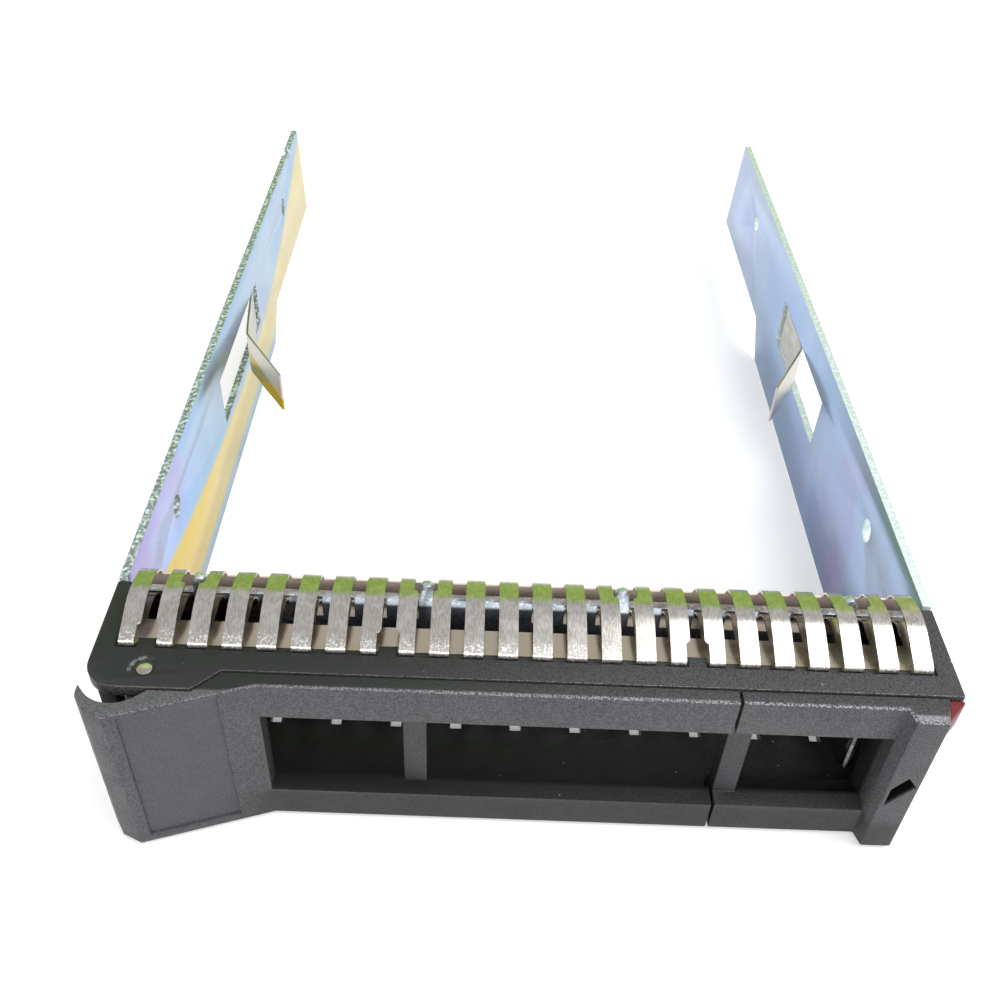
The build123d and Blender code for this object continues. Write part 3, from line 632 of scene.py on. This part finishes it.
def spring_steel():
    """Patented spring wire, dark and drawn along its length, with an oily sheen."""
    material, tree, principled, place, axes = shader("spring wire", 1.0)
    blotch, grain, normal = use(tree, metal_skin, place, 600, 6000, 0.2)
    colour = paint(tree, step(tree, blotch, 0.4, 0.65), (0.16, 0.15, 0.14), (0.34, 0.32, 0.30))
    finish(tree, principled, colour, step(tree, grain, 0.3, 0.7, 0.25, 0.4), normal)
    return material


dark_steel = spring_steel()
spring = finished("lever_torsion_spring", mesh_of("lever_torsion_spring", [wire(path * MM, 0.3 * MM)]),
                  ["lever_spring"], "frame", 0)
spring.data.materials.append(dark_steel)

# ---- Front lever -----------------------------------------------------------------------------
# The same black plastic, moulded hollow: two bars and a rib, and a slanted thumb pad with a shallow
# recess for a label. It swings on the pin.


def label_shade(tree, place, axes, colour):
    """The recess for the label has a smoother face that looks a little paler and bluer."""
    x, y, z = axes
    inside = product(tree, between(tree, x, -46.9 * MM, -36.4 * MM, 0.1 * MM),
                     step(tree, y, -83.5 * MM, -83.0 * MM, 1, 0),
                     between(tree, z, 1.9 * MM, 25.0 * MM, 0.1 * MM))
    return paint(tree, product(tree, inside, 0.55), colour, (0.050, 0.047, 0.055))


lever = softened("swinging_lever", "front_lever", "lever", 0.12 * MM)
lever.data.materials.append(black_plastic("lever plastic", label_shade))

# ---- Release latch ---------------------------------------------------------------------------
# A sliding piece of the same plastic with a finger block and a deep arrow mark at its right end. A
# curved leaf spring pushes it back, and a red wedge on its side shows from above.


def arrow_shade(tree, place, axes, colour):
    """The arrow is a blind pocket, painted nearly black as painted shade, since it is too deep for light to
    come back out of.
    """
    x, y, z = axes
    pocket = product(tree, between(tree, x, 46.1 * MM, 49.4 * MM, 0.05 * MM),
                     step(tree, y, -84.4 * MM, -84.1 * MM),
                     between(tree, z, 9.2 * MM, 15.4 * MM, 0.05 * MM))
    # Painted shade: the pocket nearly black.
    return paint(tree, pocket, colour, (0.002, 0.002, 0.002))


latch = softened("sliding_latch", "release_latch", "latch", 0.12 * MM)
latch.data.materials.append(black_plastic("latch plastic", arrow_shade))
for slot in nodes["latch_spring"].material_slots:
    slot.material = dark_steel


def red_plastic():
    """Red moulded plastic with the same fine texture, darker in the clouds."""
    material, tree, principled, place, axes = shader("red plastic", 0.0, 0.4)
    clouds, specks, normal = use(tree, moulded_skin, place, 3500, 0.35, 0.02)
    colour = paint(tree, step(tree, clouds, 0.35, 0.65), (0.12, 0.010, 0.015), (0.19, 0.018, 0.026))
    finish(tree, principled, colour, step(tree, clouds, 0.3, 0.7, 0.4, 0.55), normal)
    return material


flag = softened("red_wedge", "latch_flag", "latch", 0.12 * MM)
flag.data.materials.append(red_plastic())

# ---- Table and studio ------------------------------------------------------------------------
# A wide pale table under soft light, with a faint glow of its own that keeps it white. A large lamp
# stands high on the right and another in front. A green and a beige card behind the object show only
# as reflections in the metal.


def flat_card(name, corners, colour, glow, seen=False):
    """A glowing four-cornered sheet. One that isn't to be seen lights nothing, casts no shadow and shows
    only in reflections."""
    mesh = bpy.data.meshes.new(name)
    mesh.from_pydata(corners, [], [(0, 1, 2, 3)])
    card = bpy.data.objects.new(name, mesh)
    bpy.context.collection.objects.link(card)
    material, tree, principled, place, axes = shader(name, 0.0)
    dimmer = tuple(0.92 * part for part in colour)
    shade = paint(tree, step(tree, cloud(tree, place, 2, 2), 0.3, 0.7), dimmer, colour)
    finish(tree, principled, shade, 0.9, (0, 0, 1))
    principled.inputs["Specular IOR Level"].default_value = 0.1
    mesh.materials.append(material)
    plug(tree, shade, principled.inputs["Emission Color"])
    principled.inputs["Emission Strength"].default_value = glow
    if not seen:
        for way in ("camera", "diffuse", "shadow", "transmission", "volume_scatter"):
            setattr(card, "visible_" + way, False)
    return card


HALF_TABLE, BELOW = 3, -0.0001
flat_card("table", [(x, y, BELOW) for x, y in ((-HALF_TABLE, -HALF_TABLE), (HALF_TABLE, -HALF_TABLE),
                                               (HALF_TABLE, HALF_TABLE), (-HALF_TABLE, HALF_TABLE))],
          (0.94, 0.94, 0.94), 0.3, seen=True)
for name, left, right, colour in (("green card", -1.2, 0.42, (0.20, 0.29, 0.065)),
                                  ("beige card", 0.42, 0.95, (0.40, 0.36, 0.27))):
    flat_card(name, [(x, 0.75, z) for x, z in ((left, 0.05), (right, 0.05), (right, 0.68), (left, 0.68))],
              colour, 1)


def softbox(name, place, towards, width, height, radiance, colour):
    """A soft lamp of the given brightness that looks at a point."""
    light = bpy.data.lights.new(name, "AREA")
    light.shape = "RECTANGLE"
    light.size, light.size_y = width, height
    light.energy = radiance * math.pi * width * height
    light.color = colour
    lamp = bpy.data.objects.new(name, light)
    lamp.location = place
    lamp.rotation_euler = (Vector(towards) - Vector(place)).to_track_quat("-Z", "Y").to_euler()
    bpy.context.collection.objects.link(lamp)


softbox("right lamp", (0.52, -0.10, 1.0), (0, -0.05, 0), 0.85, 0.75, 3.5, (1, 1, 1))
softbox("front lamp", (-0.05, -1.0, 0.55), (0, -0.05, 0), 1.0, 0.6, 3.0, (1, 1, 1))
world = bpy.data.worlds.new("studio")
world.use_nodes = True
world.node_tree.nodes["Background"].inputs[0].default_value = (0.97, 0.98, 1, 1)
world.node_tree.nodes["Background"].inputs[1].default_value = 0.75
bpy.context.scene.world = world
bpy.context.scene.view_settings.view_transform = "Standard"

# The camera stands in front of the bezel and looks down into the bay.
PITCH, YAW, ROLL = 43.8, 0.22, 1.9
lens = bpy.data.cameras.new("camera")
lens.lens = 39.15
lens.shift_x = 0.0249
lens.shift_y = 0.0923
lens.clip_start = 0.01
camera = bpy.data.objects.new("camera", lens)
turn = Matrix.Rotation(math.radians(YAW), 4, "Z") @ Matrix.Rotation(math.radians(90 - PITCH), 4, "X")
turn = turn @ Matrix.Rotation(math.radians(ROLL), 4, "Z")
camera.matrix_world = Matrix.Translation((-6.01 * MM, -166.66 * MM, 123.07 * MM)) @ turn
bpy.context.collection.objects.link(camera)
bpy.context.scene.camera = camera
